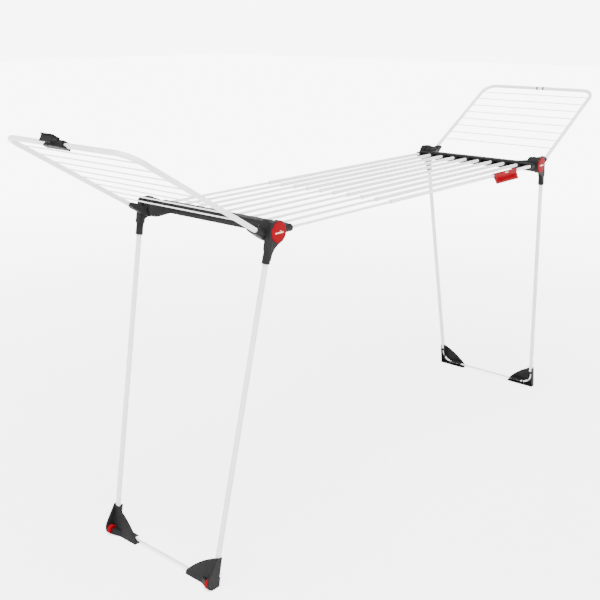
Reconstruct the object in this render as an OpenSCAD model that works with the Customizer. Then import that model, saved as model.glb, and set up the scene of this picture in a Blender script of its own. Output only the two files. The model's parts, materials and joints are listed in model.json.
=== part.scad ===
// Extendable winged drying rack: two leg frames, two end beams,
// ten telescoping rods between them and two folding wings.
// X runs from the left end (wheels, latch) to the right end, Y from front to back, Z up.

/* [Rack] */
// height of the hinge axes above the floor
hub_h = 1030; // [900:1:1100]
// distance between the two hinge axes as shown, part extended
hub_span = 1607; // [1200:1:1900]
// half of the overall width, to the outside of the red caps
half_w = 275; // [250:1:300]

/* [Rods] */
// number of telescoping rods
rod_n = 10; // [6:1:12]
// distance between rods
rod_pitch = 56.76; // [50:0.01:62]
// inner rod diameter
rod_d = 8; // [6:0.5:9]
// outer tube diameter
tube_d = 12; // [10:0.5:14]
// length of the outer tubes
tube_len = 994; // [800:1:1050]
// length of the inner rods
inner_len = 960; // [800:1:1000]

/* [Wings] */
// angle of the raised wings above level
wing_up = 30; // [0:1:45]
// wing frame tube diameter
wing_d = 14; // [10:0.5:16]
// distance of the outer bar from the hinge
wing_len = 561; // [450:1:600]
// distance between wing wires
wire_pitch = 52.2; // [40:0.1:60]
// wires in each wing
wire_n = 8; // [5:1:9]
// wing wire diameter
wire_d = 3.5; // [3:0.1:5]
// bend radius of the wing frame
wing_bend = 50; // [30:1:70]

/* [Legs] */
// outward lean of the leg frames
splay = 10.6; // [5:0.1:15]
// leg tube diameter
leg_d = 16; // [14:0.5:20]
// foot wire diameter
footwire_d = 7; // [5:0.5:9]
// wheel diameter
wheel_d = 30; // [24:1:36]
// wheel width
wheel_w = 12; // [8:0.5:14]

/* [Hidden] */

shift_x = 12.5;              // keeps the whole rack centred in X
pin_r = 5;
fit = 0.05;                  // running fit, radial
gap = 0.3;                   // side gap between turning pieces
y_cap = half_w;              // outer face of the caps
y_leg1 = y_cap - 2.6;        // leg socket slice, outer face
y_leg0 = y_cap - 22.7;       // leg socket slice, inner face
y_arm1 = y_leg0 - gap;       // wing arm slice, outer face
y_arm0 = y_arm1 - 20;        // wing arm slice, inner face
y_end1 = y_arm0 - gap;       // fixed beam end, outer face
y_end0 = 192;                // beam end meets the beam
y_rod = rod_pitch * (rod_n - 1) / 2;
leg_off = 24;                // leg axis beside the hinge axis
wing_off = 24.3;             // wing plane under the hinge axis
leg_in = 0.041;              // legs come together downward
sock_t = 90;                 // socket end along the leg
foot_t = 957;                // top of the foot along the leg
y_wing = 253;
red = [0.80, 0.03, 0.05];
dark = [0.16, 0.16, 0.17];
black = [0.05, 0.05, 0.055];
white = [0.90, 0.90, 0.89];
steel = [0.62, 0.63, 0.65];

function leg_y(t) = y_cap - 11 - leg_in * t;

// one corner of the rack, hinge axis at the local origin line, outboard is +x
module corner(side, fb) {
  translate([side * hub_span / 2 + shift_x, 0, hub_h])
    mirror([side < 0 ? 1 : 0, 0, 0])
      mirror([0, fb < 0 ? 1 : 0, 0])
        children();
}

// cylinder along +Y from y0 to y1
module cyl_y(r, y0, y1, fn = 64) {
  translate([0, y0, 0]) rotate([-90, 0, 0]) cylinder(r = r, h = y1 - y0, $fn = fn);
}

// plate in the xz plane, from y0 to y1
module plate_y(y0, y1) {
  translate([0, y1, 0]) rotate([90, 0, 0]) linear_extrude(y1 - y0) children();
}

// plate in the yz plane, from x0 to x1
module plate_x(x0, x1) {
  translate([x0, 0, 0]) rotate([90, 0, 90]) linear_extrude(x1 - x0) children();
}

// round bar between two points
module bar(p, q, d, fn = 32) {
  v = q - p;
  l = norm(v);
  translate(p) rotate([0, acos(v[2] / l), atan2(v[1], v[0])]) cylinder(d = d, h = l, $fn = fn);
}

// ---- end beams -------------------------------------------------------
module beam_profile() {
  difference() {
    union() {
      translate([-64, -13]) square([40, 22]);
      translate([-59, -18]) square([30, 32]);
      for (x = [-59, -29], z = [-13, 9]) translate([x, z]) circle(r = 5, $fn = 32);
    }
    translate([-70, -11]) square([30, 22]);
  }
}

module beam(side) {
  color(dark) corner(side, 1) difference() {
    plate_y(-y_end0, y_end0) beam_profile();
    // long shallow channel on the outboard face
    translate([-25.2, -y_end0 + 12, -6]) cube([3, 2 * y_end0 - 24, 9]);
  }
}

module rod_strip(side, d) {
  color(black) corner(side, 1) difference() {
    union() {
      translate([-68.5, -y_rod, -10.95]) cube([28.45, 2 * y_rod, 21.9]);
      for (s = [-1, 1]) translate([-68.5, s * y_rod, 0]) rotate([0, 90, 0]) cylinder(r = 10.95, h = 28.45, $fn = 48);
    }
    for (i = [0 : rod_n - 1]) translate([-70, -y_rod + i * rod_pitch, 0]) rotate([0, 90, 0]) cylinder(d = d + 0.04, h = 26.5, $fn = 32);
    for (i = [0 : rod_n - 2]) translate([-69, -y_rod + (i + 0.5) * rod_pitch - 14, -8]) cube([18, 28, 16]);
  }
}

module beam_end(side, fb) {
  color(dark) corner(side, fb) difference() {
    union() {
      cyl_y(29, y_end1 - 10, y_end1);
      hull() {
        intersection() {
          cyl_y(29, y_end1 - 11, y_end1 - 9.9, 48);
          translate([-40, y_end0, -40]) cube([80, 60, 55]);
        }
        translate([-63.8, y_end0, -17.8]) cube([39.6, 0.6, 31.6]);
      }
    }
    cyl_y(pin_r, y_end1 - 9, y_end1 + 1, 48);
    // room for the rod strip
    translate([-72, y_end0 - 1, -11]) cube([32, 60, 22]);
  }
}

module pivot_pins(side) {
  color(steel) for (fb = [-1, 1]) corner(side, fb) cyl_y(pin_r, y_end1 - 9, y_leg1 - 5, 48);
}

// screws that close each beam, heads on its lower face
module screws(side) {
  color(steel) for (y = [-150, -50, 50, 150]) corner(side, 1) translate([-34, y, -20.2]) difference() {
    cylinder(r = 3.6, h = 2.2, $fn = 24);
    translate([-2.4, -0.5, -0.1]) cube([4.8, 1, 0.9]);
    translate([-0.5, -2.4, -0.1]) cube([1, 4.8, 0.9]);
  }
}

// ---- rods ------------------------------------------------------------
module at_rods() {
  for (i = [0 : rod_n - 1]) translate([shift_x, -y_rod + i * rod_pitch, hub_h]) rotate([0, 90, 0]) children();
}
tube_x1 = hub_span / 2 - 44;      // tube end inside the right strip
tube_x0 = tube_x1 - tube_len;     // tube mouth
rod_x0 = -hub_span / 2 + 44;      // rod end inside the left strip
rod_x1 = rod_x0 + inner_len;

module outer_tubes() {
  color(white) at_rods() translate([0, 0, tube_x0]) difference() {
    cylinder(d = tube_d, h = tube_len, $fn = 32);
    translate([0, 0, -1]) cylinder(d = tube_d - 2, h = tube_len - 2, $fn = 32);
  }
}

module tube_collars() {
  color(white) at_rods() translate([0, 0, tube_x0 - 5]) difference() {
    union() {
      cylinder(d1 = tube_d + 0.6, d2 = tube_d + 2, h = 1.2, $fn = 32);
      translate([0, 0, 1.2]) cylinder(d = tube_d + 2, h = 8.8, $fn = 32);
    }
    translate([0, 0, -1]) cylinder(d = rod_d + 2 * fit, h = 12, $fn = 32);
    translate([0, 0, 5]) cylinder(d = tube_d, h = 12, $fn = 32);
  }
}

module inner_rods() {
  color(white) at_rods() translate([0, 0, rod_x0]) cylinder(d = rod_d, h = inner_len, $fn = 32);
}

module rod_glides() {
  color(black) at_rods() translate([0, 0, rod_x1 - 14]) difference() {
    cylinder(d = tube_d - 2 - 2 * fit, h = 14, $fn = 32);
    translate([0, 0, -1]) cylinder(d = rod_d, h = 16, $fn = 32);
  }
}

tag_x = 436;       // tag's left end from the middle
tag_l = 174;

// tag clipped on the front outer tube
module tag_clip() {
  color(red) translate([shift_x + tag_x, -y_rod, hub_h]) difference() {
    union() {
      plate_x(0, tag_l) {
        polygon([[-7.2, 10.5], [-4.8, 10.5], [-4.2, -6], [-16.4, -28.5], [-18.8, -28.5], [-8.4, -3]]);
      }
      rotate([0, 90, 0]) cylinder(r = 8.2, h = tag_l, $fn = 48);
      for (x = [0, tag_l - 6]) translate([x, -8.2, 0]) cube([6, 4, 10.5]);
    }
    translate([-1, 0, 0]) rotate([0, 90, 0]) cylinder(d = tube_d, h = tag_l + 2, $fn = 32);
    // mouth of the clip on the inner side
    translate([-1, 0, -4]) cube([tag_l + 2, 12, 5.6]);
    translate([12, -2, 1.6]) cube([tag_l - 24, 14, 12]);
  }
}

// ---- legs ------------------------------------------------------------
module leg_frame(side, fb) {
  corner(side, fb) rotate([0, -splay, 0]) children();
}

module leg_socket(side, fb) {
  color(dark) leg_frame(side, fb) difference() {
    union() {
      // rounded housing around the hinge with a straight outboard edge
      plate_y(y_leg0, y_leg1) union() {
        circle(r = 33, $fn = 96);
        translate([12.8, -52]) square([22.2, 66]);
        translate([6, -18]) square([17, 44]);
        translate([23, 14]) circle(r = 12, $fn = 48);
      }
      // web in the outer slice only
      plate_y(y_leg1 - 4.4, y_leg1) difference() {
        polygon([[-30, -14], [20, -14], [20, -80], [16.2, -80], [-30, -34]]);
        translate([-40.2, -80]) circle(r = 56.6, $fn = 96);
      }
      // socket for the leg tube
      bar([leg_off, leg_y(24), -24], [leg_off, leg_y(sock_t), -sock_t], 21, 48);
    }
    cyl_y(pin_r + fit, y_leg0 - 1, y_leg1 - 4.4, 48);
    // seat of the cap
    cyl_y(29.6, y_cap - 4.8, y_cap, 96);
    bar([leg_off, leg_y(30), -30], [leg_off, leg_y(sock_t + 2), -sock_t - 2], leg_d, 48);
  }
}

module cap(side, fb) {
  color(red) leg_frame(side, fb) translate([0, y_cap - 4.8, 0]) rotate([-90, 0, 0]) rotate_extrude($fn = 96)
    polygon([[0, 0], [29.5, 0], [29.5, 2.9], [28.9, 3.7], [27.6, 4.25], [20, 4.55], [0, 4.8]]);
}

module leg_tube(side, fb) {
  t0 = 30.5;
  t1 = foot_t + 17;
  color(white) leg_frame(side, fb) difference() {
    bar([leg_off, leg_y(t0), -t0], [leg_off, leg_y(t1), -t1], leg_d, 32);
    bar([leg_off, leg_y(t0 - 5), -t0 + 5], [leg_off, leg_y(t1 + 5), -t1 - 5], leg_d - 2.4, 32);
  }
}

// floor level seen along the leg, at the leg axis
floor_t = (hub_h + leg_off * sin(splay)) / cos(splay);
wire_t = floor_t - 13.5;      // wire axis at the floor
wire_y = leg_y(foot_t + 20);
wire_bend = 45;

// u-shaped wire in its own plane, x toward the floor
module foot_wire_shape(x0) {
  union() {
    for (s = [-1, 1]) {
      translate([x0, s * wire_y, 0]) rotate([0, 90, 0]) cylinder(d = footwire_d, h = wire_t - wire_bend - x0, $fn = 32);
      translate([wire_t - wire_bend, s * (wire_y - wire_bend), 0]) rotate([0, 0, s < 0 ? -90 : 0]) rotate_extrude(angle = 90, $fn = 96) translate([wire_bend, 0]) circle(d = footwire_d, $fn = 32);
    }
    translate([wire_t, -(wire_y - wire_bend), 0]) rotate([-90, 0, 0]) cylinder(d = footwire_d, h = 2 * (wire_y - wire_bend), $fn = 32);
  }
}

module foot_wire(side) {
  color(white) translate([side * hub_span / 2 + shift_x, 0, hub_h]) mirror([side < 0 ? 1 : 0, 0, 0]) rotate([0, -splay, 0]) translate([leg_off, 0, 0]) rotate([0, 90, 0]) foot_wire_shape(foot_t + 19);
}

// fan outline in the leg plane, y across and z along the leg
module fan(grow) {
  y0 = leg_y(floor_t);
  intersection() {
    polygon([[y0 + 12.5 + grow, -foot_t + grow + 1], [y0 + 12.5 + grow, -floor_t - 8], [y0 - 107 - grow, -floor_t - 8], [y0 - 107 - grow, -floor_t + 40], [y0 - 40, -foot_t + grow + 1]]);
    translate([y0 + 112.9, -floor_t - 171.9]) circle(r = 285.3 + grow, $fn = 256);
  }
}

module foot_shape(side, fb, wheels) {
  y0 = leg_y(floor_t);
  yc = leg_y(foot_t + 15);
  x1 = 35;                  // outboard face
  x0 = 13;                  // inboard face
  xw = leg_off + 20.5;
  zw = -floor_t + 13.5;     // wheel centre along the leg
  yw = y0 - 1;              // wheel middle across
  yk = yw + wheel_w / 2 + 0.5;
  leg_frame(side, fb) difference() {
    union() {
      // outer plate, full fan
      plate_x(x1 - 3.5, x1) fan(0);
      // rim of the outer plate
      plate_x(x1 - 6, x1) difference() { fan(0); fan(-2.6); translate([y0 - 130, -floor_t - 12]) square([160, 14]); }
      // sole
      intersection() {
        plate_x(x0, x1) fan(0);
        translate([x0 - 5, y0 - 120, -floor_t - 8]) cube([40, 160, 13.4]);
      }
      // side wall beside the leg tube
      plate_x(x0 + 3, x1) intersection() { fan(0); translate([y0 + 8.8, -floor_t - 8]) square([10, 120]); }
      // channel lip along the leg tube
      translate([14.5, yc - 12.6, -foot_t - 62]) cube([6.5, 4, 62]);
      plate_x(14.5, x1) intersection() { fan(0); translate([yc - 12.6, -foot_t - 55]) square([2.6, 55]); }
      // channel lip over the wire
      intersection() {
        plate_x(x0 - 1, x1) translate([y0 - 95, -wire_t + 4.6]) square([52, 3]);
        plate_x(x0 - 1, x1) union() { fan(0); translate([y0 - 95, -wire_t]) square([45, 40]); }
        union() { translate([x0 - 1, y0 - 95, -wire_t]) cube([9, 60, 40]); plate_x(x0, x1) fan(-1); }
      }
      // block that holds the leg tube
      intersection() {
        plate_x(18.5, x1) fan(0);
        union() {
          translate([leg_off, leg_y(foot_t + 12), -foot_t - 30]) cylinder(d = 21, h = 30, $fn = 48);
          translate([18.5, leg_y(foot_t + 12) - 8, -foot_t - 26]) cube([x1 - 20, 16, 24]);
        }
      }
      // struts between the plate and the wire
      for (yy = [-36, -62, -86]) plate_x(x0 + 4, x1) intersection() { fan(0); translate([y0 + yy, -floor_t - 2]) square([3, 20]); }
      if (wheels) {
        // fin outside the wheel, from the top of the foot down
        intersection() {
          translate([0, y0 + 12.5, -floor_t]) rotate([90, 0, 0]) linear_extrude(12.5 + y0 - yk) polygon([[30, 94], [35, 94], [52, 50], [59, 33], [60, 17], [54, 8], [46, 2], [40, -8], [12.6, -12], [12.6, 30], [19, 36], [30, 40]]);
          translate([0, 0, -floor_t - 20]) cube([100, 300, 200]);
        }
        translate([xw, yk, zw]) rotate([-90, 0, 0]) cylinder(r = 15.2, h = 5, $fn = 64);
        // low arm inside the wheel
        translate([0, 0, zw - 14]) linear_extrude(18.5) polygon([[x1 - 1, y0 - 40], [x1 + 3, y0 - 34], [xw + 3, yw - wheel_w / 2 - 4], [xw + 4, yw - wheel_w / 2 - 0.5], [x1 - 1, yw - wheel_w / 2 - 0.5]]);
      }
    }
    // room for the foot wire and the leg tube
    translate([leg_off, 0, 0]) rotate([0, 90, 0]) foot_wire_shape(foot_t - 20);
    bar([leg_off, leg_y(foot_t - 5), -foot_t + 5], [leg_off, leg_y(foot_t + 17), -foot_t - 17], leg_d, 32);
    // flat sole on the floor
    rotate([0, splay, 0]) translate([-100, 0, -hub_h - 20]) cube([400, 400, 20]);
    if (wheels) {
      // wheel pocket
      translate([xw, yw - wheel_w / 2 - 0.5, zw]) rotate([-90, 0, 0]) cylinder(r = wheel_d / 2 + 1.4, h = wheel_w + 1, $fn = 64);
      // axle bore
      translate([xw, yw - wheel_w / 2 - 4.5, zw]) rotate([-90, 0, 0]) cylinder(r = 2.5, h = wheel_w + 4.5 + 4.5, $fn = 32);
    }
  }
}

module wheel_axles() {
  y0 = leg_y(floor_t);
  color(steel) for (fb = [-1, 1]) leg_frame(-1, fb)
    translate([leg_off + 20.5, y0 - 1 - wheel_w / 2 - 3.5, -floor_t + 13.5]) rotate([-90, 0, 0]) cylinder(r = 2.5, h = wheel_w + 3.5 + 4, $fn = 32);
}

module wheel(fb) {
  y0 = leg_y(floor_t);
  r = wheel_d / 2;
  w = wheel_w / 2;
  color(red) leg_frame(-1, fb) translate([leg_off + 20.5, y0 - 1, -floor_t + 13.5]) rotate([-90, 0, 0]) rotate_extrude($fn = 96)
    polygon([[2.5 + fit, -w], [5.5, -w], [5.5, -w + 1.2], [r - 4, -w + 1.2], [r - 3, -w], [r - 1.2, -w], [r, -w + 1.2],
      [r, w - 1.2], [r - 1.2, w], [r - 3, w], [r - 4, w - 1.2], [5.5, w - 1.2], [5.5, w], [2.5 + fit, w]]);
}

// ---- wings -----------------------------------------------------------
module wing_arm(side, fb) {
  color(dark) corner(side, fb) rotate([0, -wing_up, 0]) difference() {
    union() {
      plate_y(y_arm0, y_arm1) difference() {
        union() {
          circle(r = 30, $fn = 96);
          polygon([[0, -34.3], [40, -34.8], [82, -32], [86, -28], [86, -22], [82, -18], [60, -12.6], [30, -12.6], [26, -2], [0, -2]]);
        }
      }
      translate([38.5, y_wing, -wing_off]) rotate([0, 90, 0]) cylinder(r = 10, h = 33.5, $fn = 48);
      translate([38.5, y_arm0, -wing_off - 10]) cube([32, y_wing - y_arm0, 20]);
    }
    cyl_y(pin_r + fit, y_arm0 - 1, y_arm1 + 1, 48);
    translate([42, y_wing, -wing_off]) rotate([0, 90, 0]) cylinder(d = wing_d, h = 70, $fn = 32);
  }
}

module wing_plane(side) {
  translate([side * hub_span / 2 + shift_x, 0, hub_h]) mirror([side < 0 ? 1 : 0, 0, 0]) rotate([0, -wing_up, 0]) translate([0, 0, -wing_off]) children();
}

module wing_frame(side) {
  color(white) wing_plane(side) union() {
    for (s = [-1, 1]) {
      translate([42.5, s * y_wing, 0]) rotate([0, 90, 0]) cylinder(d = wing_d, h = wing_len - wing_bend - 42.5, $fn = 32);
      translate([wing_len - wing_bend, s * (y_wing - wing_bend), 0]) rotate([0, 0, s < 0 ? -90 : 0]) rotate_extrude(angle = 90, $fn = 96) translate([wing_bend, 0]) circle(d = wing_d, $fn = 32);
    }
    translate([wing_len, -(y_wing - wing_bend), 0]) rotate([-90, 0, 0]) cylinder(d = wing_d, h = 2 * (y_wing - wing_bend), $fn = 32);
  }
}

module wing_wires(side) {
  color(white) wing_plane(side) for (i = [1 : wire_n])
    translate([wing_len - i * wire_pitch, -y_wing - wing_d / 2 - 0.6, 0]) rotate([-90, 0, 0]) cylinder(d = wire_d, h = 2 * y_wing + wing_d + 1.2, $fn = 24);
}

// latch on the left bar with an open groove for the right bar
module bar_latch() {
  color(dark) wing_plane(-1) translate([wing_len, 18, 0]) difference() {
    union() {
      // boat-shaped saddle along the bar
      intersection() {
        translate([-9.5, -47, -10]) cube([24, 94, 7]);
        translate([-110, 0, -10]) cylinder(r = 124.5, h = 10, $fn = 192);
      }
      translate([-9.5, -36, -10]) cube([19.5, 72, 19.5]);
      translate([-6, -41, -7]) cube([12, 82, 13]);
      // hook block outboard of the bar
      translate([9, -16, -8]) cube([24, 46, 19]);
      translate([11, -18, 10]) cube([25, 50, 3]);
      // lower step
      translate([9, -36, -8]) cube([22, 22, 12]);
    }
    translate([0, -60, 0]) rotate([-90, 0, 0]) cylinder(d = wing_d, h = 120, $fn = 32);
    // groove for the other bar
    translate([23, -60, 0]) rotate([-90, 0, 0]) cylinder(r = 8.4, h = 120, $fn = 48);
    translate([14.6, -60, -12]) cube([16.8, 120, 12]);
    // small peg hole in the lower step
    translate([11, -26, -3]) rotate([0, 90, 0]) cylinder(r = 2, h = 3, $fn = 24);
  }
}

module bar_catches() {
  color(dark) wing_plane(1) for (y = [-26, 2]) translate([wing_len, y, 0]) rotate([-90, 0, 0]) difference() {
    cylinder(r = 7.9, h = 6, $fn = 48);
    translate([0, 0, -1]) cylinder(d = wing_d, h = 8, $fn = 32);
  }
}

module beam_right() beam(1);
module beam_left() beam(-1);
module foot(side, fb) color(dark) foot_shape(side, fb, side < 0);

beam_right();
rod_strip(1, tube_d);  // rod_strip_right
beam_end(1, -1);  // beam_end_right_front
beam_end(1, 1);  // beam_end_right_back
pivot_pins(1);  // pivot_pins_right
screws(1);  // screws_right
outer_tubes();
tube_collars();
tag_clip();
beam_left();
rod_strip(-1, rod_d);  // rod_strip_left
beam_end(-1, -1);  // beam_end_left_front
beam_end(-1, 1);  // beam_end_left_back
pivot_pins(-1);  // pivot_pins_left
screws(-1);  // screws_left
inner_rods();
rod_glides();
leg_socket(-1, -1);  // leg_socket_left_front
leg_socket(-1, 1);  // leg_socket_left_back
cap(-1, -1);  // cap_left_front
cap(-1, 1);  // cap_left_back
leg_tube(-1, -1);  // leg_tube_left_front
leg_tube(-1, 1);  // leg_tube_left_back
foot_wire(-1);  // foot_wire_left
foot(-1, -1);  // foot_left_front
foot(-1, 1);  // foot_left_back
wheel_axles();
wheel(-1);  // wheel_front
wheel(1);  // wheel_back
leg_socket(1, -1);  // leg_socket_right_front
leg_socket(1, 1);  // leg_socket_right_back
cap(1, -1);  // cap_right_front
cap(1, 1);  // cap_right_back
leg_tube(1, -1);  // leg_tube_right_front
leg_tube(1, 1);  // leg_tube_right_back
foot_wire(1);  // foot_wire_right
foot(1, -1);  // foot_right_front
foot(1, 1);  // foot_right_back
wing_arm(-1, -1);  // wing_arm_left_front
wing_arm(-1, 1);  // wing_arm_left_back
wing_frame(-1);  // wing_frame_left
wing_wires(-1);  // wing_wires_left
bar_latch();
wing_arm(1, -1);  // wing_arm_right_front
wing_arm(1, 1);  // wing_arm_right_back
wing_frame(1);  // wing_frame_right
wing_wires(1);  // wing_wires_right
bar_catches();
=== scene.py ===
import math
import json
import bpy
import bmesh
from mathutils import Matrix, Vector

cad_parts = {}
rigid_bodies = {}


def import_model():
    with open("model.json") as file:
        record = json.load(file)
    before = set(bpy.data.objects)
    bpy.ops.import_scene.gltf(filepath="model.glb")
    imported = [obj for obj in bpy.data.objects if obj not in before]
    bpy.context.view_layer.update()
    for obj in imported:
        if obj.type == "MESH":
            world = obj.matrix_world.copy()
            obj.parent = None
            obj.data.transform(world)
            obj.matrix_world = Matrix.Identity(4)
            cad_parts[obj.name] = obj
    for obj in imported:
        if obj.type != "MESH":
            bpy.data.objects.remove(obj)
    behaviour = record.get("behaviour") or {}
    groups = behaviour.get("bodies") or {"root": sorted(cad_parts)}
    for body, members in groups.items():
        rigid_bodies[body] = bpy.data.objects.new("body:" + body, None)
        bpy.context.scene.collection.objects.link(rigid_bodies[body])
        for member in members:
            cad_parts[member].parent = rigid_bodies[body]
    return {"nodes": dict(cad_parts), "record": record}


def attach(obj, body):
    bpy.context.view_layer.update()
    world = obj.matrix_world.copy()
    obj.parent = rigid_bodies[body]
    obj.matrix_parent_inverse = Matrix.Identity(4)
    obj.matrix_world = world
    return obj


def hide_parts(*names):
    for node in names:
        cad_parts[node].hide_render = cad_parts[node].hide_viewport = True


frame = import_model()
nodes = frame["nodes"]
scene = bpy.context.scene
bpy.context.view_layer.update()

# ---------------------------------------------------------------- sizes (metres)
H = 1.030
SPAN = 1.607
SX = 0.0125
SPLAY = math.radians(10.6)
WING = math.radians(30.0)
YC = 0.275
Y_LEG1 = YC - 0.0026
Y_LEG0 = YC - 0.0227
Y_ARM1 = Y_LEG0 - 0.0003
Y_ARM0 = Y_ARM1 - 0.020
Y_END1 = Y_ARM0 - 0.0003
Y_END0 = 0.192
PITCH = 0.05676
YROD = PITCH * 4.5
LEG_OFF = 0.024
WOFF = 0.0243
WLEN = 0.561
WPITCH = 0.0522
Y_WING = 0.253


def leg_y(t):
    return YC - 0.011 - 0.041 * t


def corner(side, fb):
    return Matrix.Translation((side * SPAN / 2 + SX, 0, H)) @ Matrix.Diagonal((side, fb, 1, 1))


def leg_frame(side, fb):
    return corner(side, fb) @ Matrix.Rotation(-SPLAY, 4, "Y")


def wing_frame(side, fb=1):
    return corner(side, fb) @ Matrix.Rotation(-WING, 4, "Y")


# ---------------------------------------------------------------- materials
def new_mat(name):
    m = bpy.data.materials.new(name)
    m.use_nodes = True
    nt = m.node_tree
    for n in list(nt.nodes):
        nt.nodes.remove(n)
    out = nt.nodes.new("ShaderNodeOutputMaterial")
    b = nt.nodes.new("ShaderNodeBsdfPrincipled")
    nt.links.new(b.outputs[0], out.inputs[0])
    return m, nt, b


def noise(nt, scale, detail=3.0, rough=0.5, coord="Object", stretch=None):
    tc = nt.nodes.new("ShaderNodeTexCoord")
    n = nt.nodes.new("ShaderNodeTexNoise")
    n.inputs["Scale"].default_value = scale
    n.inputs["Detail"].default_value = detail
    n.inputs["Roughness"].default_value = rough
    if stretch:
        mp = nt.nodes.new("ShaderNodeMapping")
        mp.inputs["Scale"].default_value = stretch
        nt.links.new(tc.outputs[coord], mp.inputs["Vector"])
        nt.links.new(mp.outputs[0], n.inputs["Vector"])
    else:
        nt.links.new(tc.outputs[coord], n.inputs["Vector"])
    return n


def ramp(nt, src, a, b, c0, c1):
    r = nt.nodes.new("ShaderNodeValToRGB")
    r.color_ramp.elements[0].position = a
    r.color_ramp.elements[1].position = b
    r.color_ramp.elements[0].color = (*c0, 1)
    r.color_ramp.elements[1].color = (*c1, 1)
    nt.links.new(src, r.inputs[0])
    return r


def mrange(nt, src, a, b, lo, hi):
    r = nt.nodes.new("ShaderNodeMapRange")
    for k, v in (("From Min", a), ("From Max", b), ("To Min", lo), ("To Max", hi)):
        r.inputs[k].default_value = v
    nt.links.new(src, r.inputs["Value"])
    return r


def bump(nt, b, parts):
    prev = None
    for src, strength, dist in parts:
        bp = nt.nodes.new("ShaderNodeBump")
        bp.inputs["Strength"].default_value = strength
        bp.inputs["Distance"].default_value = dist
        nt.links.new(src, bp.inputs["Height"])
        if prev:
            nt.links.new(prev.outputs[0], bp.inputs["Normal"])
        prev = bp
    nt.links.new(prev.outputs[0], b.inputs["Normal"])


def mixc(nt, fac, c_src, color):
    mx = nt.nodes.new("ShaderNodeMixRGB")
    nt.links.new(fac, mx.inputs[0])
    nt.links.new(c_src, mx.inputs[1])
    mx.inputs[2].default_value = (*color, 1)
    return mx


def mat_enamel():
    m, nt, b = new_mat("white_enamel")
    big = noise(nt, 9.0, 4.0, 0.55)
    col = ramp(nt, big.outputs["Fac"], 0.35, 0.7, (0.40, 0.40, 0.398), (0.45, 0.45, 0.447))
    chips = noise(nt, 260.0, 2.0, 0.7)
    mask = mrange(nt, chips.outputs["Fac"], 0.74, 0.78, 0.0, 0.35)
    c = mixc(nt, mask.outputs[0], col.outputs[0], (0.36, 0.36, 0.35))
    nt.links.new(c.outputs[0], b.inputs["Base Color"])
    ro = noise(nt, 60.0, 4.0, 0.6)
    rr = mrange(nt, ro.outputs["Fac"], 0.3, 0.7, 0.26, 0.42)
    nt.links.new(rr.outputs[0], b.inputs["Roughness"])
    peel = noise(nt, 420.0, 2.0, 0.5)
    fine = noise(nt, 1900.0, 1.0, 0.5)
    bump(nt, b, [(peel.outputs["Fac"], 0.10, 0.0006), (fine.outputs["Fac"], 0.05, 0.0002)])
    b.inputs["Coat Weight"].default_value = 0.10
    b.inputs["Coat Roughness"].default_value = 0.18
    b.inputs["Specular IOR Level"].default_value = 0.35
    return m


def mat_plastic(name, lo, hi, dust, r0, r1, grain, gscale=1500.0, coat=0.0, spec=0.3):
    m, nt, b = new_mat(name)
    big = noise(nt, 24.0, 5.0, 0.6)
    col = ramp(nt, big.outputs["Fac"], 0.3, 0.75, lo, hi)
    ed = nt.nodes.new("ShaderNodeNewGeometry")
    sep = nt.nodes.new("ShaderNodeSeparateXYZ")
    nt.links.new(ed.outputs["Normal"], sep.inputs[0])
    up = mrange(nt, sep.outputs["Z"], 0.4, 1.0, 0.0, 0.30)
    dn = noise(nt, 90.0, 4.0, 0.7)
    mul = nt.nodes.new("ShaderNodeMath")
    mul.operation = "MULTIPLY"
    nt.links.new(up.outputs[0], mul.inputs[0])
    nt.links.new(dn.outputs["Fac"], mul.inputs[1])
    c = mixc(nt, mul.outputs[0], col.outputs[0], dust)
    nt.links.new(c.outputs[0], b.inputs["Base Color"])
    ro = noise(nt, 130.0, 3.0, 0.6)
    rr = mrange(nt, ro.outputs["Fac"], 0.3, 0.7, r0, r1)
    nt.links.new(rr.outputs[0], b.inputs["Roughness"])
    g = nt.nodes.new("ShaderNodeTexVoronoi")
    g.inputs["Scale"].default_value = gscale
    tc = nt.nodes.new("ShaderNodeTexCoord")
    nt.links.new(tc.outputs["Object"], g.inputs["Vector"])
    flow = noise(nt, 45.0, 2.0, 0.5)
    bump(nt, b, [(g.outputs["Distance"], grain, 0.0003), (flow.outputs["Fac"], 0.05, 0.002)])
    if coat:
        b.inputs["Coat Weight"].default_value = coat
        b.inputs["Coat Roughness"].default_value = 0.25
    b.inputs["Specular IOR Level"].default_value = spec
    return m


def mat_steel():
    m, nt, b = new_mat("zinc_steel")
    n = noise(nt, 300.0, 4.0, 0.6, stretch=(1, 8, 1))
    col = ramp(nt, n.outputs["Fac"], 0.3, 0.7, (0.48, 0.49, 0.51), (0.66, 0.67, 0.69))
    nt.links.new(col.outputs[0], b.inputs["Base Color"])
    b.inputs["Metallic"].default_value = 1.0
    rr = mrange(nt, n.outputs["Fac"], 0.3, 0.7, 0.25, 0.45)
    nt.links.new(rr.outputs[0], b.inputs["Roughness"])
    bump(nt, b, [(n.outputs["Fac"], 0.15, 0.0002)])
    return m


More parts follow.
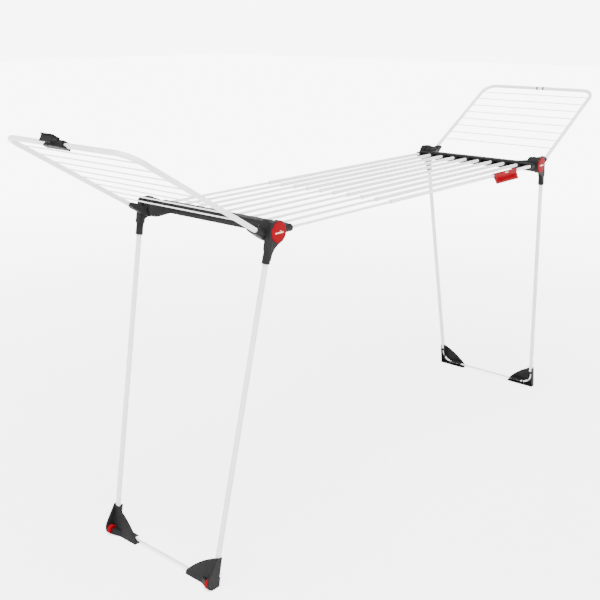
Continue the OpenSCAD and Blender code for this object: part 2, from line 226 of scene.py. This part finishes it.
M_WHITE = mat_enamel()
M_GREY = mat_plastic("grey_plastic", (0.0045, 0.0045, 0.0047), (0.0065, 0.0065, 0.0067), (0.011, 0.011, 0.011), 0.46, 0.62, 0.28, spec=0.05)
M_BLACK = mat_plastic("black_plastic", (0.003, 0.003, 0.003), (0.005, 0.005, 0.005), (0.012, 0.012, 0.012), 0.55, 0.7, 0.2, spec=0.08)
M_RED = mat_plastic("red_plastic", (0.095, 0.0001, 0.0022), (0.115, 0.0001, 0.0028), (0.12, 0.0008, 0.003), 0.34, 0.48, 0.10, 1100.0, spec=0.012)
M_MARK = mat_plastic("mark_print", (0.40, 0.34, 0.24), (0.46, 0.40, 0.28), (0.44, 0.38, 0.28), 0.35, 0.5, 0.05, spec=0.2)
M_STEEL = mat_steel()
MATS = {"white_enamel": M_WHITE, "grey_plastic": M_GREY, "black_plastic": M_BLACK, "red_plastic": M_RED, "zinc_steel": M_STEEL}
SLOT_OF = {s["node"]: s["material_slot"] for s in frame["record"]["subparts"]}


# ---------------------------------------------------------------- mesh helpers
def to_obj(bm, name, mat, M=None, smooth=True, angle=40.0):
    if M is not None:
        bm.transform(M)
        if M.determinant() < 0:
            bmesh.ops.reverse_faces(bm, faces=bm.faces[:])
    me = bpy.data.meshes.new(name)
    bm.to_mesh(me)
    bm.free()
    ob = bpy.data.objects.new(name, me)
    scene.collection.objects.link(ob)
    me.materials.append(mat)
    if smooth:
        me.shade_smooth()
        if angle:
            me.set_sharp_from_angle(angle=math.radians(angle))
    return ob


def add_prism(bm, pts, a0, a1, axis="y"):
    """outline extruded along an axis; y: pts are (x, z); x: pts are (y, z)"""
    def P(p, a):
        if axis == "y":
            return (p[0], a, p[1])
        if axis == "x":
            return (a, p[0], p[1])
        return (p[0], p[1], a)
    v0 = [bm.verts.new(P(p, a0)) for p in pts]
    v1 = [bm.verts.new(P(p, a1)) for p in pts]
    n = len(pts)
    fs = [bm.faces.new(v0), bm.faces.new(v1[::-1])]
    for i in range(n):
        fs.append(bm.faces.new((v0[i], v1[i], v1[(i + 1) % n], v0[(i + 1) % n])))
    bmesh.ops.recalc_face_normals(bm, faces=fs)


def add_tube(bm, p, q, r, seg=32, r2=None):
    p, q = Vector(p), Vector(q)
    d = (q - p)
    M = Matrix.Translation((p + q) / 2) @ d.to_track_quat("Z", "Y").to_matrix().to_4x4()
    bmesh.ops.create_cone(bm, cap_ends=True, segments=seg, radius1=r, radius2=r if r2 is None else r2, depth=d.length, matrix=M)


def circle(cx, cy, r, a0=0.0, a1=360.0, n=48, closed=True):
    k = n if closed else n + 1
    return [(cx + r * math.cos(math.radians(a0 + (a1 - a0) * i / n)), cy + r * math.sin(math.radians(a0 + (a1 - a0) * i / n))) for i in range(k)]


def rounded(pts, r, n=5):
    """outline with each corner rounded"""
    out = []
    m = len(pts)
    for i in range(m):
        p0, p1, p2 = Vector(pts[i - 1]), Vector(pts[i]), Vector(pts[(i + 1) % m])
        rr = r[i] if isinstance(r, (list, tuple)) else r
        a = (p0 - p1)
        b = (p2 - p1)
        rr = min(rr, a.length * 0.49, b.length * 0.49)
        a = p1 + a.normalized() * rr
        b = p1 + b.normalized() * rr
        for k in range(n + 1):
            t = k / n
            q = a * (1 - t) ** 2 + p1 * 2 * t * (1 - t) + b * t ** 2
            out.append((q.x, q.y))
    return out


def sweep(name, pts, r, mat, seg=20, caps=True, rfun=None):
    """round bar along a path of points"""
    bm = bmesh.new()
    pts = [Vector(p) for p in pts]
    n = len(pts)
    rings = []
    t0 = (pts[1] - pts[0]).normalized()
    up = Vector((0, 0, 1)) if abs(t0.z) < 0.9 else Vector((1, 0, 0))
    u = (up - t0 * up.dot(t0)).normalized()
    for i, p in enumerate(pts):
        a = pts[max(i - 1, 0)]
        b = pts[min(i + 1, n - 1)]
        t = (b - a).normalized()
        u = (u - t * u.dot(t)).normalized()
        w = t.cross(u)
        rr = r if rfun is None else rfun(i)
        rings.append([bm.verts.new(p + (u * math.cos(2 * math.pi * k / seg) + w * math.sin(2 * math.pi * k / seg)) * rr) for k in range(seg)])
    for i in range(n - 1):
        for k in range(seg):
            bm.faces.new((rings[i][k], rings[i][(k + 1) % seg], rings[i + 1][(k + 1) % seg], rings[i + 1][k]))
    if caps:
        bm.faces.new(rings[0][::-1])
        bm.faces.new(rings[-1])
    bmesh.ops.recalc_face_normals(bm, faces=bm.faces[:])
    return to_obj(bm, name, mat)


def bake(ob):
    dg = bpy.context.evaluated_depsgraph_get()
    me = bpy.data.meshes.new_from_object(ob.evaluated_get(dg))
    old = ob.data
    ob.modifiers.clear()
    ob.data = me
    bpy.data.meshes.remove(old)
    return ob


def mould(bm, name, mat, voxel=0.0011, smooth=4, cuts=()):
    """melts the parts of bm into one skin with soft moulded edges, then cuts crisp recesses"""
    me = bpy.data.meshes.new(name)
    bm.to_mesh(me)
    bm.free()
    ob = bpy.data.objects.new(name, me)
    scene.collection.objects.link(ob)
    rm = ob.modifiers.new("rm", "REMESH")
    rm.mode = "VOXEL"
    rm.voxel_size = voxel
    rm.adaptivity = 0.0
    if smooth:
        sm = ob.modifiers.new("sm", "SMOOTH")
        sm.factor = 0.5
        sm.iterations = smooth
    for cb in cuts:
        cme = bpy.data.meshes.new("cut")
        cb.to_mesh(cme)
        cb.free()
        cut = bpy.data.objects.new("cut", cme)
        scene.collection.objects.link(cut)
        bo = ob.modifiers.new("bo", "BOOLEAN")
        bo.operation = "DIFFERENCE"
        bo.solver = "EXACT"
        bo.object = cut
    de = ob.modifiers.new("de", "DECIMATE")
    de.decimate_type = "COLLAPSE"
    de.ratio = 0.35
    bpy.context.view_layer.update()
    bake(ob)
    for o in [o for o in scene.collection.objects if o.name.startswith("cut")]:
        bpy.data.objects.remove(o)
    ob.data.materials.clear()
    ob.data.materials.append(mat)
    ob.data.shade_smooth()
    ob.data.set_sharp_from_angle(angle=math.radians(38))
    return ob


def copies(ob, mats, names):
    """the same moulded piece at several corners"""
    out = []
    base = ob.data
    for M, nm in zip(mats, names):
        bm = bmesh.new()
        bm.from_mesh(base)
        bm.transform(M)
        if M.determinant() < 0:
            bmesh.ops.reverse_faces(bm, faces=bm.faces[:])
        me = bpy.data.meshes.new(nm)
        bm.to_mesh(me)
        bm.free()
        for mt in base.materials:
            me.materials.append(mt)
        me.shade_smooth()
        me.set_sharp_from_angle(angle=math.radians(38))
        o = bpy.data.objects.new(nm, me)
        scene.collection.objects.link(o)
        out.append(o)
    bpy.data.objects.remove(ob)
    return out


FB = {-1: "front", 1: "back"}
SD = {-1: "left", 1: "right"}
CORNERS = [(-1, -1), (-1, 1), (1, -1), (1, 1)]


# ---------------------------------------------------------------- leg sockets and caps
def leg_socket():
    bm = bmesh.new()
    house = circle(0, 0, 0.0328, 100, 262, 40, False)
    house += [(0.0005, -0.0320), (0.0125, -0.0400), (0.0130, -0.0500), (0.0160, -0.0560), (0.0310, -0.0560), (0.0345, -0.0500)]
    house += [(0.0347, 0.010)]
    house += circle(0.0235, 0.0145, 0.0112, 0, 80, 8, False)
    add_prism(bm, house, Y_LEG0 + 0.0002, Y_LEG1, "y")
    web = [(-0.0230, -0.0235), (-0.0128, -0.0300)]
    cxw, czw, rw = -0.0402, -0.0800, 0.0566
    for k in range(13):
        an = math.radians(60 - 60 * k / 12)
        web.append((cxw + rw * math.cos(an), czw + rw * math.sin(an)))
    web += [(0.0220, -0.0800), (0.0220, -0.0100), (-0.0200, -0.0100)]
    add_prism(bm, web, Y_LEG1 - 0.0046, Y_LEG1 - 0.0004, "y")
    add_tube(bm, (LEG_OFF, leg_y(0.026), -0.026), (LEG_OFF, leg_y(0.0898), -0.0898), 0.0106, 48, 0.0117)
    cut = bmesh.new()
    add_tube(cut, (0, YC - 0.0048, 0), (0, YC + 0.002, 0), 0.02965, 96)
    inner = bmesh.new()
    add_tube(inner, (0, Y_LEG0 - 0.002, 0), (0, Y_LEG1 - 0.0046, 0), 0.0052, 48)
    ob = mould(bm, "leg_socket_base", M_GREY, 0.0010, 3, [cut, inner])
    return ob


base = leg_socket()
for (s, f), o in zip(CORNERS, copies(base, [leg_frame(s, f) for s, f in CORNERS], [f"leg_socket_skin_{SD[s]}_{FB[f]}" for s, f in CORNERS])):
    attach(o, f"{SD[s]}_legs")
    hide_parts(f"leg_socket_{SD[s]}_{FB[f]}")


def revolve_y(bm, prof, seg=96):
    """profile of (radius, y) turned about the Y axis"""
    rings = []
    for r, y in prof:
        if r < 1e-7:
            rings.append([bm.verts.new((0, y, 0))])
        else:
            rings.append([bm.verts.new((r * math.cos(2 * math.pi * k / seg), y, r * math.sin(2 * math.pi * k / seg))) for k in range(seg)])
    for a, b in zip(rings, rings[1:]):
        for k in range(seg):
            k2 = (k + 1) % seg
            if len(a) == 1 and len(b) == 1:
                continue
            if len(a) == 1:
                bm.faces.new((a[0], b[k], b[k2]))
            elif len(b) == 1:
                bm.faces.new((a[k], b[0], a[k2]))
            else:
                bm.faces.new((a[k], b[k], b[k2], a[k2]))
    bmesh.ops.recalc_face_normals(bm, faces=bm.faces[:])


def pill(bm, cx, cz, w, h, y0, y1, tilt=0.0):
    pts = []
    r = h / 2
    for a in range(-90, 91, 15):
        pts.append((w / 2 - r + r * math.cos(math.radians(a)), r * math.sin(math.radians(a))))
    for a in range(90, 271, 15):
        pts.append((-(w / 2 - r) + r * math.cos(math.radians(a)), r * math.sin(math.radians(a))))
    c, s = math.cos(tilt), math.sin(tilt)
    add_prism(bm, [(cx + x * c - z * s, cz + x * s + z * c) for x, z in pts], y0, y1, "y")


for s, f in CORNERS:
    bm = bmesh.new()
    revolve_y(bm, [(0, YC - 0.0048), (0.0295, YC - 0.0048), (0.0295, YC - 0.0020), (0.0292, YC - 0.0013), (0.0285, YC - 0.0008), (0.0275, YC - 0.00055),
                   (0.0258, YC - 0.0005), (0.0254, YC - 0.0009), (0.0246, YC - 0.0009), (0.0242, YC - 0.0005), (0.020, YC - 0.00035), (0.012, YC - 0.0002), (0, YC - 0.0001)])
    o = to_obj(bm, f"cap_skin_{SD[s]}_{FB[f]}", M_RED, leg_frame(s, f))
    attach(o, f"{SD[s]}_legs")
    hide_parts(f"cap_{SD[s]}_{FB[f]}")
    # plain generic mark: a bar with a shorter bar over it, level with the floor
    bm = bmesh.new()
    pill(bm, 0, -0.0015, 0.033, 0.0030, YC - 0.0009, YC - 0.00002)
    pill(bm, -0.005, 0.0030, 0.006, 0.0020, YC - 0.0009, YC - 0.00002)
    o = to_obj(bm, f"cap_mark_{SD[s]}_{FB[f]}", M_MARK, corner(s, f))
    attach(o, f"{SD[s]}_legs")


# ---------------------------------------------------------------- wing arms
def wing_arm():
    bm = bmesh.new()
    y0, y1 = Y_ARM0 + 0.0002, Y_ARM1 - 0.0002
    add_tube(bm, (0, y0, 0), (0, y1, 0), 0.0298, 96)
    band = rounded([(0.0, -0.0296), (0.006, -0.0341), (0.040, -0.0346), (0.0815, -0.0318), (0.0857, -0.0280), (0.0857, -0.0222), (0.0815, -0.0182), (0.060, -0.0129), (0.030, -0.0129), (0.022, -0.004), (0.0, 0.0)], 0.004)
    add_prism(bm, band, y0, y1, "y")
    add_tube(bm, (0.0388, Y_WING, -WOFF), (0.0718, Y_WING, -WOFF), 0.0098, 48)
    blk = rounded([(Y_ARM0 + 0.002, -WOFF - 0.0097), (Y_WING - 0.001, -WOFF - 0.0097), (Y_WING - 0.001, -WOFF + 0.0097), (Y_ARM0 + 0.002, -WOFF + 0.0097)], 0.003)
    add_prism(bm, blk, 0.0388, 0.0700, "x")
    cut = bmesh.new()
    add_tube(cut, (0, Y_ARM0 - 0.002, 0), (0, Y_ARM1 + 0.002, 0), 0.0052, 48)
    return mould(bm, "wing_arm_base", M_GREY, 0.0010, 3, [cut])


base = wing_arm()
for (s, f), o in zip(CORNERS, copies(base, [wing_frame(s, f) for s, f in CORNERS], [f"wing_arm_skin_{SD[s]}_{FB[f]}" for s, f in CORNERS])):
    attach(o, f"{SD[s]}_wing")
    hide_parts(f"wing_arm_{SD[s]}_{FB[f]}")


# ---------------------------------------------------------------- end beams with tapered ends
def end_beam(side):
    bm = bmesh.new()
    prof = rounded([(-0.0640, -0.0180), (-0.0240, -0.0180), (-0.0240, 0.0140), (-0.0640, 0.0140)], [0.004, 0.006, 0.009, 0.006], 6)
    add_prism(bm, prof, -0.194, 0.194, "y")
    for fb in (-1, 1):
        add_tube(bm, (0, fb * (Y_END1 - 0.0102), 0), (0, fb * (Y_END1 - 0.0002), 0), 0.0288, 96)
        hb = bmesh.new()
        ring = [(0.0288 * math.cos(2 * math.pi * k / 64), 0.0288 * math.sin(2 * math.pi * k / 64)) for k in range(64)]
        # a smooth run of sections from the hub's round to the beam's shape
        c0 = Vector((0, 0))
        steps = 16
        rings = []
        for i in range(steps + 1):
            t = i / steps
            y = (Y_END1 - 0.0100) * (1 - t) + 0.190 * t
            sec = []
            for k in range(64):
                a = 2 * math.pi * k / 64
                cx, cz = -0.044, -0.002
                dx, dz = math.cos(a), math.sin(a)
                m = min(0.020 / max(abs(dx), 1e-6), 0.0160 / max(abs(dz), 1e-6))
                q = Vector((cx + dx * m, cz + dz * m))
                p = Vector(ring[k])
                e = t * t * (3 - 2 * t)
                p = p * (1 - e) + q * e
                sec.append(Vector((p.x, min(p.y, 0.0144))))
            rings.append([hb.verts.new((v.x, fb * y, v.y)) for v in sec])
        for a, b in zip(rings, rings[1:]):
            for k in range(64):
                hb.faces.new((a[k], b[k], b[(k + 1) % 64], a[(k + 1) % 64]))
        hb.faces.new(rings[0])
        hb.faces.new(rings[-1][::-1])
        bmesh.ops.recalc_face_normals(hb, faces=hb.faces[:])
        tmp = bpy.data.meshes.new("t")
        hb.to_mesh(tmp)
        hb.free()
        bm.from_mesh(tmp)
        bpy.data.meshes.remove(tmp)
    cut = bmesh.new()
    add_prism(cut, [(-0.075, -0.0111), (-0.0398, -0.0111), (-0.0398, 0.0111), (-0.075, 0.0111)], -0.245, 0.245, "y")
    groove = bmesh.new()
    add_prism(groove, rounded([(-0.176, -0.0052), (0.176, -0.0052), (0.176, 0.0022), (-0.176, 0.0022)], 0.003), -0.0254, -0.020, "x")
    return mould(bm, f"beam_base_{SD[side]}", M_GREY, 0.0012, 3, [cut, groove])


for s in (-1, 1):
    base = end_beam(s)
    (o,) = copies(base, [corner(s, 1)], [f"beam_skin_{SD[s]}"])
    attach(o, f"{SD[s]}_section")
    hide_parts(f"beam_{SD[s]}", f"beam_end_{SD[s]}_front", f"beam_end_{SD[s]}_back")


# ---------------------------------------------------------------- tag details
TX = SX + 0.436
tag = Matrix.Translation((TX, -YROD, H))
slope = math.atan2(0.0120, 0.0255)
bm = bmesh.new()
for i in range(27):
    x = 0.016 + i * 0.0055
    a = Vector((x, -0.01075, -0.0080))
    b = Vector((x, -0.01620, -0.0205))
    add_tube(bm, a, b, 0.0009, 8)
o = to_obj(bm, "tag_ribs", M_RED, tag)
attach(o, "right_section")
bm = bmesh.new()
pill(bm, 0.092, 0.0036, 0.024, 0.0030, -0.0090, -0.0078)
o = to_obj(bm, "tag_mark", M_MARK, tag)
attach(o, "right_section")


# ---------------------------------------------------------------- weld beads on the wings
for s in (-1, 1):
    for f in (-1, 1):
        bm = bmesh.new()
        for i in range(1, 9):
            t = WLEN - i * WPITCH
            yy = Y_WING - 0.0066
            M = Matrix.Translation((t, yy, -WOFF))
            prof = [(0.0030, 0.0009), (0.0027, -0.0004), (0.0021, -0.0014), (0.00175, -0.0020)]
            rings = []
            for r, dy in prof:
                rings.append([bm.verts.new(M @ Vector((r * math.cos(2 * math.pi * k / 16) * (1 + 0.06 * math.sin(3 * k + i)), dy, r * math.sin(2 * math.pi * k / 16)))) for k in range(16)])
            for a, b in zip(rings, rings[1:]):
                for k in range(16):
                    bm.faces.new((a[k], b[k], b[(k + 1) % 16], a[(k + 1) % 16]))
        bmesh.ops.recalc_face_normals(bm, faces=bm.faces[:])
        o = to_obj(bm, f"weld_beads_{SD[s]}_{FB[f]}", M_WHITE, wing_frame(s, f))
        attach(o, f"{SD[s]}_wing")


# ---------------------------------------------------------------- small plugs over the wire ends
for s in (-1, 1):
    for f in (-1, 1):
        bm = bmesh.new()
        for i in range(1, 9):
            t = WLEN - i * WPITCH
            n = Vector((0, 0.72, 0.69)).normalized()
            c = Vector((t, Y_WING, -WOFF))
            add_tube(bm, c + n * 0.0062, c + n * 0.00725, 0.0015, 16, 0.0012)
        o = to_obj(bm, f"wire_plugs_{SD[s]}_{FB[f]}", M_GREY, wing_frame(s, f))
        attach(o, f"{SD[s]}_wing")


# ---------------------------------------------------------------- carried-over CAD nodes
BEV = {"foot": 0.0009, "rod_strip": 0.0006, "tag_clip": 0.0006, "bar_latch": 0.0008, "bar_catches": 0.0005, "wheel_front": 0.0004,
       "wheel_back": 0.0004, "screws": 0.0003, "tube_collars": 0.0004, "leg_tube": 0.0003}
for n, ob in nodes.items():
    ob.data.materials.clear()
    ob.data.materials.append(MATS[SLOT_OF[n]])
    for key, w in BEV.items():
        if n.startswith(key) and "wire" not in n:
            bv = ob.modifiers.new("edge", "BEVEL")
            bv.width = w
            bv.segments = 3
            bv.limit_method = "ANGLE"
            bv.angle_limit = math.radians(35)
            bv.harden_normals = False
            bv.use_clamp_overlap = True

# ---------------------------------------------------------------- floor, light, camera
bm = bmesh.new()
bmesh.ops.create_grid(bm, x_segments=2, y_segments=2, size=30.0)
floor = to_obj(bm, "floor", M_WHITE, None, False)
fm, fnt, fb_ = new_mat("studio_floor")
fn = noise(fnt, 1.5, 3.0, 0.5)
fc = ramp(fnt, fn.outputs["Fac"], 0.3, 0.7, (0.50, 0.50, 0.50), (0.51, 0.51, 0.51))
fnt.links.new(fc.outputs[0], fb_.inputs["Base Color"])
fb_.inputs["Roughness"].default_value = 0.9
# painted light: the floor itself glows, rising smoothly from strength 2.5 near the rack to 5.6 six metres out, so the
# ground far off reads white while the rack's undersides get less light
fb_.inputs["Emission Color"].default_value = (1, 1, 1, 1)
f_tc = fnt.nodes.new("ShaderNodeTexCoord")
f_len = fnt.nodes.new("ShaderNodeVectorMath")
f_len.operation = "LENGTH"
fnt.links.new(f_tc.outputs["Object"], f_len.inputs[0])
painted_floor_glow = mrange(fnt, f_len.outputs["Value"], 0.8, 6.0, 2.5, 5.6)
painted_floor_glow.interpolation_type = "SMOOTHSTEP"
fnt.links.new(painted_floor_glow.outputs[0], fb_.inputs["Emission Strength"])
fb_.inputs["Specular IOR Level"].default_value = 0.1
floor.data.materials.clear()
floor.data.materials.append(fm)

world = bpy.data.worlds.new("studio")
scene.world = world
world.use_nodes = True
wt = world.node_tree
bg = wt.nodes["Background"]
w_tc = wt.nodes.new("ShaderNodeTexCoord")
w_sp = wt.nodes.new("ShaderNodeSeparateXYZ")
wt.links.new(w_tc.outputs["Generated"], w_sp.inputs[0])
w_mr = mrange(wt, w_sp.outputs["Z"], 0.03, 0.40, 7.6, 0.5)
wt.links.new(w_mr.outputs[0], bg.inputs["Strength"])
bg.inputs[0].default_value = (1.0, 1.0, 1.0, 1)


def area(name, loc, target, size, power):
    l = bpy.data.lights.new(name, "AREA")
    l.shape = "RECTANGLE"
    l.size, l.size_y = size
    l.energy = power
    o = bpy.data.objects.new(name, l)
    scene.collection.objects.link(o)
    o.location = loc
    d = Vector(target) - Vector(loc)
    o.rotation_euler = d.to_track_quat("-Z", "Y").to_euler()
    return o


def sun(name, azimuth, elevation, angle, power):
    l = bpy.data.lights.new(name, "SUN")
    l.energy = power
    l.angle = angle
    o = bpy.data.objects.new(name, l)
    scene.collection.objects.link(o)
    o.location = (0, 0, 4)
    az, el = math.radians(azimuth), math.radians(elevation)
    d = Vector((math.cos(az) * math.cos(el), math.sin(az) * math.cos(el), math.sin(el)))
    o.rotation_euler = d.to_track_quat("Z", "Y").to_euler()
    return o


sun("overhead", 215, 74, 0.8, 15.5)
area("key", (-2.6, -2.9, 2.7), (0, 0, 0.7), (2.0, 2.0), 150)
area("fill", (3.4, -2.6, 2.6), (0, 0, 0.9), (2.4, 2.4), 10)

cam_data = bpy.data.cameras.new("camera")
cam = bpy.data.objects.new("camera", cam_data)
scene.collection.objects.link(cam)
scene.camera = cam
yaw, pitch, roll = 0.838, 0.299, 0.002
f = Vector((math.sin(yaw) * math.cos(pitch), math.cos(yaw) * math.cos(pitch), -math.sin(pitch)))
r0 = Vector((math.cos(yaw), -math.sin(yaw), 0))
u0 = r0.cross(f)
r = r0 * math.cos(roll) + u0 * math.sin(roll)
u = u0 * math.cos(roll) - r0 * math.sin(roll)
cam.matrix_world = Matrix(((r.x, u.x, -f.x, -2.6247 + SX), (r.y, u.y, -f.y, -1.8247), (r.z, u.z, -f.z, 1.5824), (0, 0, 0, 1)))
cam_data.sensor_width = 36
cam_data.lens = 901.17 / 600 * 36
cam_data.shift_x = 0.0751
cam_data.shift_y = -0.0047
cam_data.clip_end = 100
